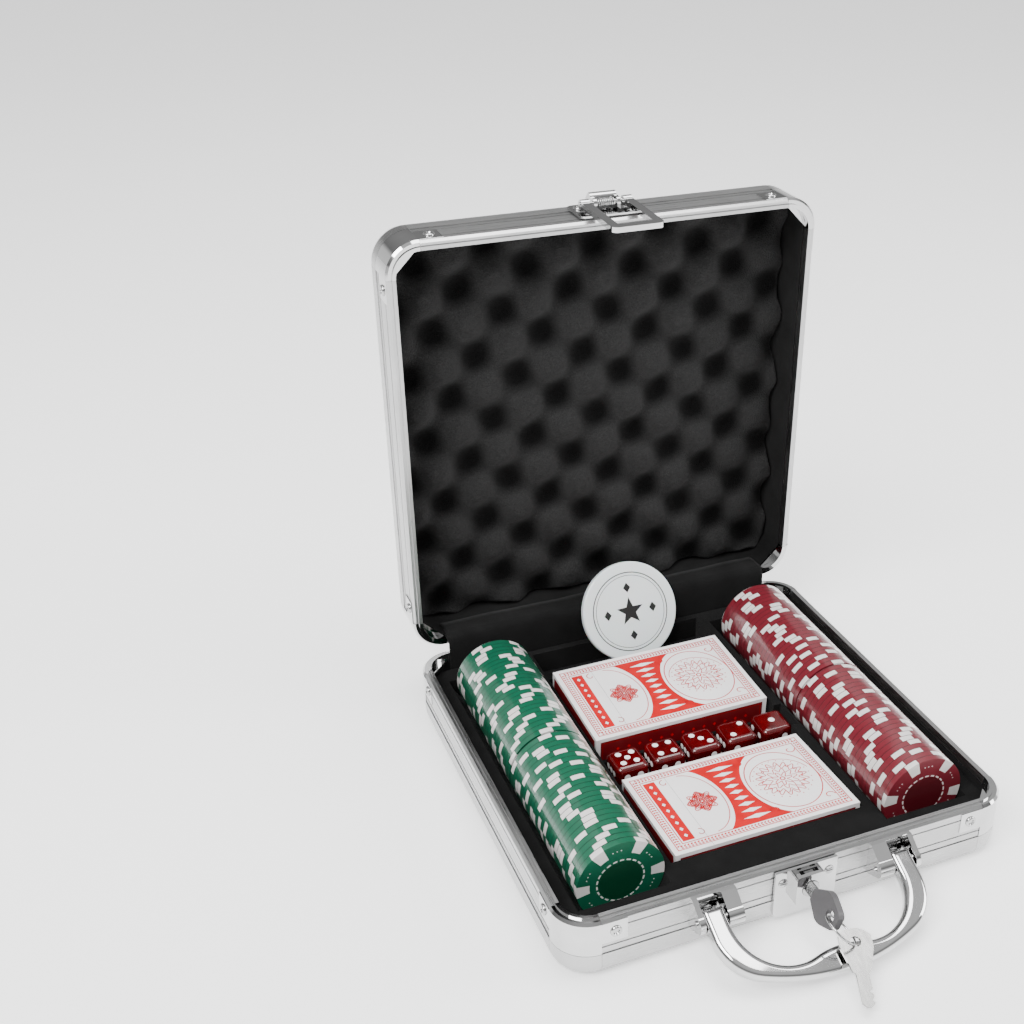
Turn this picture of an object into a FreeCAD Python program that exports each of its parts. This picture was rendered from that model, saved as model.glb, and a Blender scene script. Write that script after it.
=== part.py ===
"""Poker chip case: an aluminium case with its lid open, packed with chips, cards, dice and a button.

Frame: millimetres, +Z up, the origin at the middle of the base's underside, on its middle rib.
The handle and lock are at the front (-Y) and the lid hinges at the back (+Y).  The two shells are
alike, so each is built mouth up, and the lid's is then turned over and swung open about its hinge.
"""
import FreeCAD, Part
import math
import os
import Sketcher

SIZES = [
    # The two shells
    ("case_width", 210, "outside, left to right"),
    ("case_depth", 206, "outside, front to back"),
    ("shell_height", 30, "one shell, outer face to mouth plane"),
    ("mouth_gap", 0.15, "each rim stops this short of the mouth plane"),
    ("corner_radius", 16, "upright corners, seen from above"),
    ("edge_radius", 6, "rounding of the edge rails"),
    ("edge_flange", 13, "edge rail's width on the outer face"),
    ("edge_wall", 1.6, "edge rail's thickness"),
    ("seam_height", 12, "edge rail's height, up to the seam"),
    ("band_inset", 0.4, "rim rail's band behind the edge rail's face"),
    ("rim_wall", 1.6, "rim rail's thickness"),
    ("rim_width", 4.4, "mouth rim, outer face to inner lip"),
    ("rim_step", 0.8, "drop from the lip to the rim's outer flat"),
    ("lip_width", 1.6, "inner lip, across its top"),
    ("lip_depth", 4.5, "inner lip, down its inner face"),
    ("joint_gap", 0.1, "hairline between neighbouring fittings"),
    ("groove_depth", 0.3, "fine extruded lines in the band"),
    ("groove_width", 0.8, "fine extruded lines in the band"),
    ("tab_reach", 27, "corner tab's end, from the case's corner"),
    ("tab_low", 17.5, "corner tab's lower edge"),
    ("tab_high", 27.6, "corner tab's upper edge"),
    ("rivet_reach", 22, "rivet, from the case's corner"),
    ("rivet_height", 22.6, "rivet centre above the outer face"),
    ("rivet_radius", 2.5, "hollow rivet head"),
    ("gusset_reach", 12.2, "corner gusset, along each lip from the corner's axis"),
    ("gusset_corner", 8.9, "corner gusset's hidden corner from the same axis"),
    ("gusset_thick", 1.2, "corner gusset plate"),
    # Ribbed panels, linings and feet
    ("panel_plate", 1.4, "panel thickness behind the edge rails"),
    ("rib_pitch", 4.9, "groove spacing on the ribbed panel"),
    ("rib_count", 36, "grooves on the ribbed panel"),
    ("rib_groove", 0.9, "groove width"),
    ("rib_depth", 0.5, "groove depth"),
    ("lining_floor", 0.4, "lining cloth on the panel"),
    ("lining_top", 25, "lined boards' upper edge"),
    ("foot_reach", 38.6, "foot centre from the case's side"),
    ("foot_level", 18.8, "foot centre above the outer face"),
    ("foot_base", 6.5, "foot radius at the case"),
    ("foot_tip", 4, "foot radius at its end"),
    ("foot_tall", 7.5, "foot height"),
    ("label_width", 81, "blank label plate"),
    ("label_depth", 49, "blank label plate"),
    ("label_thick", 0.6, "blank label plate"),
    ("label_shift", 6, "label plate's centre, towards the hinge"),
    # Hinges and flap
    ("lid_angle", 89.4, "how far the lid stands open"),
    ("axis_rise", 4, "hinge axis above the mouth plane"),
    ("hinge_width", 30, "each hinge"),
    ("hinge_place", 35, "hinge centre from the middle"),
    ("knuckle_radius", 2.1, "rolled knuckle"),
    ("hinge_pin_radius", 1, "hinge pin"),
    ("pin_play", 0.05, "running clearance round a pin"),
    ("leaf_thick", 0.8, "hinge leaf"),
    ("leaf_low", 13.6, "hinge leaf's far edge above the outer face"),
    ("flap_width", 177, "cloth flap over the hinge gap"),
    ("flap_thick", 0.8, "cloth flap"),
    # Chip tray and contents
    ("tray_floor", 3.7, "tray underside"),
    ("tray_deck", 21.5, "tray top"),
    ("tray_back", 96.3, "tray's rear face"),
    ("trough_place", 72, "chip trough's axis from the middle"),
    ("trough_level", 25.7, "chip trough's axis height"),
    ("trough_radius", 21, "chip trough"),
    ("trough_length", 173, "chip trough"),
    ("card_well_width", 93, "card wells"),
    ("front_well_low", -75.4, "front card well"),
    ("front_well_high", -15, "front card well"),
    ("front_well_floor", 4.4, "front card well"),
    ("rear_well_low", 8.2, "rear card well"),
    ("rear_well_high", 68.6, "rear card well"),
    ("rear_well_floor", 8.6, "rear card well"),
    ("button_well_high", 92.5, "well that the button stands in"),
    ("button_well_floor", 9.7, "well that the button stands in"),
    ("dice_place", 2.9, "row of dice, left or right of the middle"),
    ("dice_depth", -2.5, "row of dice, behind the middle"),
    ("dice_pitch", 18.8, "dice spacing"),
    ("dice_slot_width", 95, "dice slot"),
    ("dice_slot_depth", 17.6, "dice slot"),
    ("dice_floor", 4.3, "dice slot's floor"),
    ("divider_top", 13.5, "low walls each side of the dice"),
    ("die_side", 16, "die"),
    ("die_round", 3, "die corner rounding"),
    ("chip_radius", 19.5, "chip, 39 mm across"),
    ("chip_thick", 3.1, "chip"),
    ("chip_pitch", 3.17, "chip spacing in a wrap"),
    ("wrap_gap", 1, "between a row's two wraps"),
    ("chip_level", 24.9, "chip axis height"),
    ("box_length", 89.4, "card box"),
    ("box_width", 57, "card box"),
    ("box_height", 15.5, "card box"),
    ("button_radius", 26, "dealer button"),
    ("button_thick", 4, "dealer button"),
    ("button_lean", 25, "dealer button's lean from upright"),
    ("foam_thick", 9, "egg-crate foam, its base and crests together"),
    # Handle
    ("pivot_depth", 6.5, "handle pin in front of the case's front"),
    ("pivot_level", 19.5, "handle pin above the underside"),
    ("handle_droop", 24, "handle below level as it rests"),
    ("handle_half", 48.5, "half the handle's outer width"),
    ("handle_reach", 36.3, "grip's outer edge from the pin"),
    ("handle_thick", 7.5, "handle, through its flat side"),
    ("leg_width", 9.7, "handle leg at its pin"),
    ("handle_pin_radius", 1.5, "handle pin"),
    ("bracket_outer", 51.2, "bracket's outer end from the middle"),
    ("bracket_inner", 31.6, "bracket's inner end from the middle"),
    ("bracket_low", 12.6, "bracket plate"),
    ("bracket_high", 28, "bracket plate"),
    ("bracket_plate", 1.6, "bracket plate"),
    ("ear_radius", 4.3, "bracket ear's nose"),
    ("screw_radius", 2.2, "screw head"),
    # Lock, keys and latch
    ("lock_shift", 1.3, "lock and latch, right of the middle"),
    ("lock_width", 29, "lock plate"),
    ("lock_low", 3, "lock plate"),
    ("lock_high", 27.4, "lock plate"),
    ("lock_thick", 1.2, "lock plate"),
    ("boss_width", 13.2, "lock boss"),
    ("boss_low", 10.5, "lock boss"),
    ("boss_high", 25.8, "lock boss"),
    ("boss_proud", 5.4, "lock boss in front of the case"),
    ("key_level", 18.5, "key's axis"),
    ("cylinder_radius", 3.9, "lock cylinder"),
    ("key_turn", 22, "how far the key is turned"),
    ("blade_thick", 1, "key blade"),
    ("blade_width", 5.4, "key blade"),
    ("bow_thick", 3, "plastic key bow"),
    ("key_hole_reach", 17, "hole in the bow from the boss's face"),
    ("ring_radius", 7.8, "key ring"),
    ("ring_wire", 0.5, "key ring's wire, radius"),
    ("spare_thick", 1.2, "spare key"),
    ("latch_width", 31, "latch plate"),
    ("latch_near", 4, "latch plate's edge from the mouth"),
    ("latch_far", 23, "latch plate's edge from the mouth"),
    ("hasp_pivot", 13, "hasp pin from the mouth"),
    ("hasp_proud", 3.9, "hasp pin in front of the case"),
    ("hasp_length", 38, "hasp, pin to free end"),
    ("hasp_width", 25, "hasp"),
    ("hasp_window", 16.4, "hasp's window"),
    ("hasp_bar", 4.4, "hasp's end bar"),
    ("hasp_thick", 2.4, "hasp"),
    ("hasp_pin_radius", 1.1, "hasp pin"),
    ("housing_width", 13, "latch housing"),
]

doc = FreeCAD.newDocument("poker_chip_case")
sheet = doc.addObject("Spreadsheet::Sheet", "Sizes")
for row, (alias, value, note) in enumerate(SIZES, start=1):
    sheet.set("A%d" % row, note)
    sheet.set("B%d" % row, str(value))
    sheet.setAlias("B%d" % row, alias)
doc.recompute()


class Size:
    """A number that also carries the spreadsheet formula it comes from."""

    def __init__(self, value, formula):
        self.value = value
        self.formula = formula

    def __add__(self, other):
        return joined(self, "+", other, self.value + plain(other))

    def __radd__(self, other):
        return joined(other, "+", self, plain(other) + self.value)

    def __sub__(self, other):
        return joined(self, "-", other, self.value - plain(other))

    def __rsub__(self, other):
        return joined(other, "-", self, plain(other) - self.value)

    def __mul__(self, other):
        return joined(self, "*", other, self.value * plain(other))

    def __rmul__(self, other):
        return joined(other, "*", self, plain(other) * self.value)

    def __truediv__(self, other):
        return joined(self, "/", other, self.value / plain(other))

    def __neg__(self):
        return joined(-1, "*", self, -self.value)


def plain(number):
    """The plain value of a Size or a number."""
    return number.value if isinstance(number, Size) else number


def wording(number):
    return number.formula if isinstance(number, Size) else repr(float(number))


def joined(left, sign, right, value):
    return Size(value, "(%s %s %s)" % (wording(left), sign, wording(right)))


def size(alias):
    return Size(float(sheet.get(alias)), "Sizes.%s" % alias)


def sine(angle):
    return Size(math.sin(math.radians(plain(angle))), "sin(%s * 1 deg)" % wording(angle))


def cosine(angle):
    return Size(math.cos(math.radians(plain(angle))), "cos(%s * 1 deg)" % wording(angle))


def bind(thing, place, number):
    """Set a property of an object, tied to the spreadsheet when the number comes from it."""
    if isinstance(number, Size):
        thing.setExpression(place, number.formula)
    elif "." in place or "[" in place:
        thing.setExpression(place, repr(float(number)))
    else:
        setattr(thing, place, number)


# ---------------------------------------------------------------- placing and collecting

NODES = []
SIDEWAYS = FreeCAD.Vector(1, 0, 0)
UPRIGHT = FreeCAD.Vector(0, 0, 1)


def put(thing, x=0, y=0, z=0, axis=UPRIGHT, angle=0):
    """Place an object; every coordinate and the angle may come from the spreadsheet."""
    spin = FreeCAD.Rotation(axis, plain(angle))
    thing.Placement = FreeCAD.Placement(FreeCAD.Vector(plain(x), plain(y), plain(z)), spin)
    for place, number in (("x", x), ("y", y), ("z", z)):
        if isinstance(number, Size):
            bind(thing, "Placement.Base." + place, number)
    if isinstance(angle, Size):
        thing.setExpression("Placement.Rotation.Angle", "%s * 1 deg" % angle.formula)
    return thing


def put_on_lid(thing):
    """Turn a shell's mouth down on top of the base, then swing it open about the hinge axis."""
    swing = size("lid_angle")
    back = size("case_depth") / 2
    above = size("shell_height") - size("axis_rise")
    y = back - back * cosine(swing) + above * sine(swing)
    z = size("shell_height") + size("axis_rise") + back * sine(swing) + above * cosine(swing)
    return put(thing, 0, y, z, SIDEWAYS, 180 - swing)


def node(thing, label, on_lid=False):
    """Name a finished sub-part, and list it for writing."""
    thing.Label = label
    if on_lid:
        put_on_lid(thing)
    NODES.append(thing)
    return thing


def together(things, label, on_lid=False):
    """Several separate solids kept as one sub-part."""
    group = doc.addObject("Part::Compound", label)
    group.Links = things
    return node(group, label, on_lid)


# ---------------------------------------------------------------- sketches and features

class Turn:
    """In an outline, an arc between the points before and after it; positive turns left."""

    def __init__(self, radius):
        self.radius = radius


def new_body(name):
    return doc.addObject("PartDesign::Body", name)


def sketch_on(body, plane, offset=0):
    """A sketch on one of the body's own origin planes, raised along the plane's normal."""
    sketch = body.newObject("Sketcher::SketchObject", body.Name + "_outline")
    base = [f for f in body.Origin.OriginFeatures if f.Role == plane][0]
    sketch.AttachmentSupport = [(base, "")]
    sketch.MapMode = "FlatFace"
    if plain(offset) != 0:
        bind(sketch, "AttachmentOffset.Base.z", offset)
    return sketch


def held(sketch, first, *rest):
    """Add a constraint; a number at its end is tied to the spreadsheet."""
    number = rest[-1]
    values = rest[:-1] + (plain(number),)
    index = sketch.addConstraint(Sketcher.Constraint(first, *values))
    if isinstance(number, Size):
        bind(sketch, "Constraints[%d]" % index, number)


def arc_between(start, end, radius):
    """The short arc from start to end; a positive radius runs anticlockwise."""
    half = (end - start) * 0.5
    reach = math.sqrt(max(radius * radius - half.Length ** 2, 0))
    left = FreeCAD.Vector(-half.y, half.x, 0).normalize()
    middle = start + half + left * (reach if radius > 0 else -reach)
    ends = (start, end) if radius > 0 else (end, start)
    angles = [math.atan2(p.y - middle.y, p.x - middle.x) for p in ends]
    return Part.ArcOfCircle(Part.Circle(middle, UPRIGHT, abs(radius)), *angles)


def trace(sketch, *path):
    """A closed outline of straight and Turn runs, each corner pinned from the sketch's origin."""
    corners = []
    turns = {}
    for item in path:
        if isinstance(item, Turn):
            turns[len(corners) - 1] = item.radius
        else:
            corners.append(item)
    points = [FreeCAD.Vector(plain(a), plain(b), 0) for a, b in corners]
    count = len(points)
    first = sketch.GeometryCount
    for i, start in enumerate(points):
        end = points[(i + 1) % count]
        run = arc_between(start, end, plain(turns[i])) if i in turns else Part.LineSegment(start, end)
        sketch.addGeometry(run)
    clockwise = {i for i, radius in turns.items() if plain(radius) < 0}
    for i, (a, b) in enumerate(corners):
        after = (i + 1) % count
        sketch.addConstraint(Sketcher.Constraint(
            "Coincident", first + i, 1 if i in clockwise else 2,
            first + after, 2 if after in clockwise else 1))
        mine = 2 if i in clockwise else 1
        held(sketch, "DistanceX", -1, 1, first + i, mine, a)
        held(sketch, "DistanceY", -1, 1, first + i, mine, b)
    for i, radius in turns.items():
        held(sketch, "Radius", first + i, radius if plain(radius) > 0 else -radius)


def ring(sketch, a, b, radius):
    """A full circle."""
    index = sketch.GeometryCount
    middle = FreeCAD.Vector(plain(a), plain(b), 0)
    sketch.addGeometry(Part.Circle(middle, UPRIGHT, plain(radius)))
    held(sketch, "DistanceX", -1, 1, index, 3, a)
    held(sketch, "DistanceY", -1, 1, index, 3, b)
    held(sketch, "Radius", index, radius)


def rectangle(sketch, left, low, right, high):
    trace(sketch, (left, low), (right, low), (right, high), (left, high))


def rounded(sketch, left, low, right, high, radius):
    """A rectangle with equal round corners."""
    trace(sketch, (left + radius, low), (right - radius, low), Turn(radius),
          (right, low + radius), (right, high - radius), Turn(radius),
          (right - radius, high), (left + radius, high), Turn(radius),
          (left, high - radius), (left, low + radius), Turn(radius))


def feature(body, kind, sketch):
    made = body.newObject("PartDesign::" + kind, body.Name + "_" + kind.lower())
    made.Profile = sketch
    return made


def pad(body, sketch, length, both_ways=False, backwards=False):
    made = feature(body, "Pad", sketch)
    bind(made, "Length", length)
    made.SideType = "Symmetric" if both_ways else "One side"
    made.Reversed = backwards
    return made


def pocket(body, sketch, depth, both_ways=False, backwards=False):
    made = feature(body, "Pocket", sketch)
    bind(made, "Length", depth)
    made.SideType = "Symmetric" if both_ways else "One side"
    made.Reversed = backwards
    return made


def turned(body, sketch, angle=360, axis="V_Axis"):
    made = feature(body, "Revolution", sketch)
    made.ReferenceAxis = (sketch, [axis])
    made.Angle = angle
    return made


# ---------------------------------------------------------------- shared sizes

width = size("case_width")
depth = size("case_depth")
height = size("shell_height")
side = width / 2
front = depth / 2
corner = size("corner_radius")
gap = size("joint_gap")
rim_top = height - size("mouth_gap")
band = size("band_inset")
seam = size("seam_height")
rim_flat = rim_top - size("rim_step")
lip_outer = size("rim_width") - size("lip_width")
EDGES = (("front", 0, -1), ("rear", 0, 1), ("left", -1, 0), ("right", 1, 0))
QUARTERS = ((1, 1, 0), (-1, 1, 90), (-1, -1, 180), (1, -1, 270))


def wall_section(sketch, face, sign, points):
    """An outline given as (depth behind the face, height), drawn on the face's own side."""
    items = []
    for item in points:
        if isinstance(item, Turn):
            items.append(Turn(item.radius * sign))
        else:
            items.append((sign * (face - item[0]), item[1]))
    trace(sketch, *items)


def edge_profile():
    radius = size("edge_radius")
    wall = size("edge_wall")
    top = seam - gap
    flange = size("edge_flange")
    return [(0, top), (0, radius), Turn(-radius), (radius, 0), (flange, 0), (flange, wall),
            (radius, wall), Turn(radius - wall), (wall, radius), (wall, top)]


def rim_profile():
    low = seam + gap
    wall = band + size("rim_wall")
    line = size("groove_depth") + band
    wide = size("groove_width")
    lines = []
    for level in (low + 3, rim_flat - 5):
        lines += [(band, level), (line, level), (line, level + wide), (band, level + wide)]
    return [(wall, low), (band, low)] + lines + [
        (band, rim_flat - 1.2), (band + 1, rim_flat), (lip_outer, rim_flat), (lip_outer, rim_top),
        (size("rim_width"), rim_top), (size("rim_width"), rim_top - size("lip_depth")),
        (size("rim_width") - 1, rim_top - size("lip_depth")),
        (size("rim_width") - 1, rim_flat - 1.6), (wall, rim_flat - 1.6)]


def straight_rail(name, across, along, points):
    """One straight rail on the side that across and along point to."""
    body = new_body(name)
    if across:
        sketch = sketch_on(body, "XZ_Plane")
        wall_section(sketch, side, across, points)
        pad(body, sketch, depth - 2 * corner - 2 * gap, both_ways=True)
    else:
        sketch = sketch_on(body, "YZ_Plane")
        wall_section(sketch, front, along, points)
        pad(body, sketch, width - 2 * corner - 2 * gap, both_ways=True)
    return body


# ---------------------------------------------------------------- the shell, used twice

def panel(name, on_lid):
    """Ribbed panel: a plate held behind the edge rails, its raised ribbed face flush with them."""
    body = new_body(name)
    inset = size("edge_wall") + gap
    flange = size("edge_flange") + gap
    plateau = size("edge_wall") + gap
    face = sketch_on(body, "XY_Plane")
    rounded(face, flange - side, flange - front, side - flange, front - flange, corner - flange)
    pad(body, face, plateau + 0.4)
    plate = sketch_on(body, "XY_Plane", plateau)
    shoulder = size("edge_radius")
    rounded(plate, inset + shoulder - side, inset + shoulder - front, side - inset - shoulder,
            front - inset - shoulder, corner - shoulder)
    pad(body, plate, size("panel_plate"))
    groove = sketch_on(body, "XY_Plane")
    far = (size("rib_count") - 1) * size("rib_pitch") / 2
    rectangle(groove, -side, -far - size("rib_groove") / 2, side, size("rib_groove") / 2 - far)
    cut = pocket(body, groove, size("rib_depth"), backwards=True)
    doc.recompute()
    pattern = body.newObject("PartDesign::LinearPattern", name + "_pattern")
    pattern.Originals = [cut]
    pattern.Direction = (groove, ["V_Axis"])
    bind(pattern, "Length", far * 2)
    bind(pattern, "Occurrences", size("rib_count"))
    body.Tip = pattern
    node(body, name, on_lid)


def edge_corners(name, on_lid):
    """Rounded corner caps between the edge rails."""
    made = []
    for across, along, angle in QUARTERS:
        body = new_body(name + "_piece")
        sketch = sketch_on(body, "XZ_Plane")
        wall_section(sketch, corner, 1, edge_profile())
        turned(body, sketch, 90)
        put(body, across * (side - corner), along * (front - corner), 0, UPRIGHT, angle)
        made.append(body)
    together(made, name, on_lid)


def rim_corners(name, on_lid):
    """Chromed mouth corners: the rim's section turned through a quarter, two tabs and a gusset."""
    made = []
    low = seam + gap
    wall = band + size("rim_wall")
    step = size("lip_depth")
    section = [(wall, low), (0, low), (0, rim_flat - 1.2), (1, rim_flat), (lip_outer, rim_flat),
               (lip_outer, rim_top), (size("rim_width"), rim_top),
               (size("rim_width"), rim_top - step), (lip_outer, rim_top - step),
               (lip_outer, rim_flat - 1.6), (wall, rim_flat - 1.6)]
    reach = size("tab_reach") - corner
    for across, along, angle in QUARTERS:
        body = new_body(name + "_piece")
        sketch = sketch_on(body, "XZ_Plane")
        wall_section(sketch, corner, 1, section)
        turned(body, sketch, 90)
        for plane in ("XZ_Plane", "YZ_Plane"):
            tab = sketch_on(body, plane)
            rectangle(tab, corner - band, size("tab_low"), corner, size("tab_high"))
            pad(body, tab, reach, backwards=plane == "YZ_Plane")
        brace = sketch_on(body, "XY_Plane", rim_top - step)
        reach_in = size("gusset_reach")
        inner = size("gusset_corner")
        trace(brace, (reach_in, 0), (inner, inner), (0, reach_in))
        pad(body, brace, size("gusset_thick"))
        put(body, across * (side - corner), along * (front - corner), 0, UPRIGHT, angle)
        made.append(body)
    together(made, name, on_lid)


def hollow_rivet(name):
    """A tubular rivet's rolled head, its axis along Z."""
    body = new_body(name)
    head = size("rivet_radius")
    sketch = sketch_on(body, "XZ_Plane")
    trace(sketch, (0, 0), (head, 0), (head, 0.2), Turn(0.8), (head - 0.8, 0.9), (head - 1.1, 0.9),
          (head - 1.5, 0.3), (0, 0.3))
    turned(body, sketch)
    return body


def facing(thing, across, along, x, y, z):
    """Turn a fastener's axis from +Z to the side that across and along point to."""
    axis = FreeCAD.Vector(-along, across, 0)
    return put(thing, x, y, z, axis, 90)


def rivets(name, on_lid):
    """Two rivets through each side's corner tabs, and four through each hinge leaf."""
    made = []
    level = size("rivet_height")
    reach = size("rivet_reach")
    for _, across, along in EDGES:
        for end in (-1, 1):
            x = across * side if across else end * (side - reach)
            y = along * front if along else end * (front - reach)
            made.append(facing(hollow_rivet(name + "_piece"), across, along, x, y, level))
    back = -1 if on_lid else 1
    for hinge in (-1, 1):
        for end in (-1, 1):
            x = hinge * size("hinge_place") + end * (size("hinge_width") / 2 - 5)
            y = back * (front - band + size("leaf_thick"))
            made.append(facing(hollow_rivet(name + "_piece"), 0, back, x, y, level - 5))
    together(made, name, on_lid)


def lining(name, on_lid):
    """Cloth-covered boards: a thin floor on the panel and a wall behind each rim rail."""
    body = new_body(name)
    floor = size("edge_wall") + gap * 2 + size("panel_plate")
    outer = band + size("rim_wall") + gap
    inner = size("rim_width")
    bend = size("edge_radius") + 0.2
    for inset, low, high in ((outer + 0.7, floor, bend), (outer, bend, size("lining_top"))):
        sketch = sketch_on(body, "XY_Plane", low)
        rounded(sketch, inset - side, inset - front, side - inset, front - inset, corner - inset)
        pad(body, sketch, high - low)
    hollow = sketch_on(body, "XY_Plane", floor + size("lining_floor"))
    rounded(hollow, inner - side, inner - front, side - inner, front - inner, corner - inner)
    pocket(body, hollow, height, backwards=True)
    node(body, name, on_lid)


def feet(name, on_lid):
    """Two tapered plastic feet on the hinge side, which the closed case stands on."""
    made = []
    back = -1 if on_lid else 1
    for end in (-1, 1):
        foot = doc.addObject("Part::Cone", name + "_piece")
        bind(foot, "Radius1", size("foot_base"))
        bind(foot, "Radius2", size("foot_tip"))
        bind(foot, "Height", size("foot_tall"))
        x = end * (side - size("foot_reach"))
        facing(foot, 0, back, x, back * front, size("foot_level"))
        made.append(foot)
    together(made, name, on_lid)


def cut_hinge_notches(body, back):
    """Room for the rolled knuckles, open to the mouth."""
    for hinge in (-1, 1):
        sketch = sketch_on(body, "XY_Plane", height)
        middle = hinge * size("hinge_place")
        half = size("hinge_width") / 2 + 0.4
        low, high = sorted((back * (front + 1), back * (front - 3)), key=plain)
        rectangle(sketch, middle - half, low, middle + half, high)
        pocket(body, sketch, size("axis_rise") + size("knuckle_radius") + 0.4)


def shell(prefix, on_lid):
    panel(prefix + "_panel", on_lid)
    rails = [straight_rail(prefix + "_edge_" + name, across, along, edge_profile())
             for name, across, along in EDGES]
    together(rails, prefix + "_edge_rails", on_lid)
    edge_corners(prefix + "_edge_corners", on_lid)
    for name, across, along in EDGES:
        rail = straight_rail(prefix + "_rim_" + name, across, along, rim_profile())
        if on_lid and name == "front":
            cut_hinge_notches(rail, -1)
        node(rail, prefix + "_rim_" + name, on_lid)
    rim_corners(prefix + "_rim_corners", on_lid)
    rivets(prefix + "_rivets", on_lid)
    lining(prefix + "_lining", on_lid)
    feet(prefix + "_feet", on_lid)


shell("base", False)
shell("lid", True)
# The lid is turned over, so its -Y rail lies at the hinge and its +Y rail carries the latch.
for thing in NODES:
    if thing.Label == "lid_rim_front":
        thing.Label = "lid_rim_hinge_side"
    if thing.Label == "lid_rim_rear":
        thing.Label = "lid_rim_latch_side"


# ---------------------------------------------------------------- lid's plate and foam

label = new_body("label_plate")
outline = sketch_on(label, "XY_Plane")
shift = size("label_shift")
half_long = size("label_width") / 2
half_short = size("label_depth") / 2
rounded(outline, -half_long, -half_short - shift, half_long, half_short - shift, 3)
pad(label, outline, size("label_thick"), backwards=True)
node(label, "label_plate", True)

foam = new_body("lid_foam")
inner = size("rim_width") + gap
outline = sketch_on(foam, "XY_Plane", size("tray_floor"))
rounded(outline, inner - side, inner - front, side - inner, front - inner, corner - inner)
pad(foam, outline, size("foam_thick"))
node(foam, "lid_foam", True)


# ---------------------------------------------------------------- hinges and their flap

axis_height = height + size("axis_rise")
knuckle = size("knuckle_radius")
hinge_wide = size("hinge_width")
third = hinge_wide / 3 - 0.3


def hinge_leaf(name, on_lid):
    """A leaf on the rear band, its rolled knuckles round the pin's axis."""
    body = new_body(name)
    back = -1 if on_lid else 1
    axis_level = height - size("axis_rise") if on_lid else axis_height
    near = back * (front - band)
    far = back * (front - band + size("leaf_thick"))
    low, high = (far, near) if on_lid else (near, far)
    clear = axis_level - knuckle - 0.4
    roll = sketch_on(body, "YZ_Plane")
    ring(roll, back * front, axis_level, knuckle)
    pad(body, roll, third if on_lid else hinge_wide, both_ways=True)
    stem = sketch_on(body, "YZ_Plane")
    rectangle(stem, low, clear - 1, high, axis_level)
    pad(body, stem, third if on_lid else hinge_wide, both_ways=True)
    leaf = sketch_on(body, "YZ_Plane")
    rectangle(leaf, low, size("leaf_low"), high, clear)
    pad(body, leaf, hinge_wide, both_ways=True)
    if not on_lid:
        room = sketch_on(body, "XZ_Plane")
        rectangle(room, -hinge_wide / 6 - 0.15, clear, hinge_wide / 6 + 0.15, axis_level + 5)
        pocket(body, room, width * 2, both_ways=True)
    bore = sketch_on(body, "YZ_Plane")
    play = size("pin_play") if on_lid else 0
    ring(bore, back * front, axis_level, size("hinge_pin_radius") + play)
    pocket(body, bore, hinge_wide + 2, both_ways=True)
    return body


def round_bar(name, radius, length, x, y, z):
    """A pin lying along X, its near end at x."""
    bar = doc.addObject("Part::Cylinder", name)
    bind(bar, "Radius", radius)
    bind(bar, "Height", length)
    return put(bar, x, y, z, FreeCAD.Vector(0, 1, 0), 90)


pins = []
for label_text, on_lid in (("hinge_leaves_base", False), ("hinge_leaves_lid", True)):
    leaves = []
    for hand in (-1, 1):
        leaves.append(put(hinge_leaf(label_text + "_piece", on_lid), hand * size("hinge_place")))
    together(leaves, label_text, on_lid)
for hand in (-1, 1):
    start = hand * size("hinge_place") - hinge_wide / 2
    pins.append(round_bar("hinge_pin", size("hinge_pin_radius"), hinge_wide, start, front, axis_height))
together(pins, "hinge_pins")

flap = new_body("hinge_flap")
outline = sketch_on(flap, "YZ_Plane")
thick = size("flap_thick")
lip_inner = front - size("rim_width")
bend = axis_height + size("rim_width") + 0.3
trace(outline, (lip_inner - 0.3 - thick, 14), (lip_inner - 0.3, 14), (lip_inner - 0.3, bend - 1),
      Turn(-1), (lip_inner + 0.7, bend), (front + 9, bend), (front + 9, bend + thick),
      (lip_inner + 0.7, bend + thick), Turn(1 + thick), (lip_inner - 0.3 - thick, bend - 1))
pad(flap, outline, size("flap_width"), both_ways=True)
node(flap, "hinge_flap")


# ---------------------------------------------------------------- chip tray

tray = new_body("chip_tray")
edge = size("rim_width") + 0.3
deck = size("tray_deck")
outline = sketch_on(tray, "XY_Plane", size("tray_floor"))
rounded(outline, edge - side, edge - front, side - edge, size("tray_back"), corner - edge)
pad(tray, outline, deck - size("tray_floor"))
troughs = sketch_on(tray, "XZ_Plane")
for hand in (-1, 1):
    ring(troughs, hand * size("trough_place"), size("trough_level"), size("trough_radius"))
pocket(tray, troughs, size("trough_length"), both_ways=True)
well = size("card_well_width") / 2
slot_middle = size("dice_depth")
slot_half = size("dice_slot_depth") / 2
WELLS = (
    (-well, size("front_well_low"), well, size("front_well_high"), size("front_well_floor")),
    (-well, size("rear_well_low"), well, size("rear_well_high"), size("rear_well_floor")),
    (-well, size("rear_well_high") + 2.4, well, size("button_well_high"), size("button_well_floor")),
    (-well, size("front_well_high") - 1, well, size("rear_well_low") + 1, size("divider_top")),
    (size("dice_place") - size("dice_slot_width") / 2, slot_middle - slot_half,
     size("dice_place") + size("dice_slot_width") / 2, slot_middle + slot_half, size("dice_floor")),
)
for left, low, right, high, floor in WELLS:
    opening = sketch_on(tray, "XY_Plane", floor)
    rectangle(opening, left, low, right, high)
    pocket(tray, opening, height, backwards=True)
node(tray, "chip_tray")


# ---------------------------------------------------------------- chips, cards, dice and button

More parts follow.
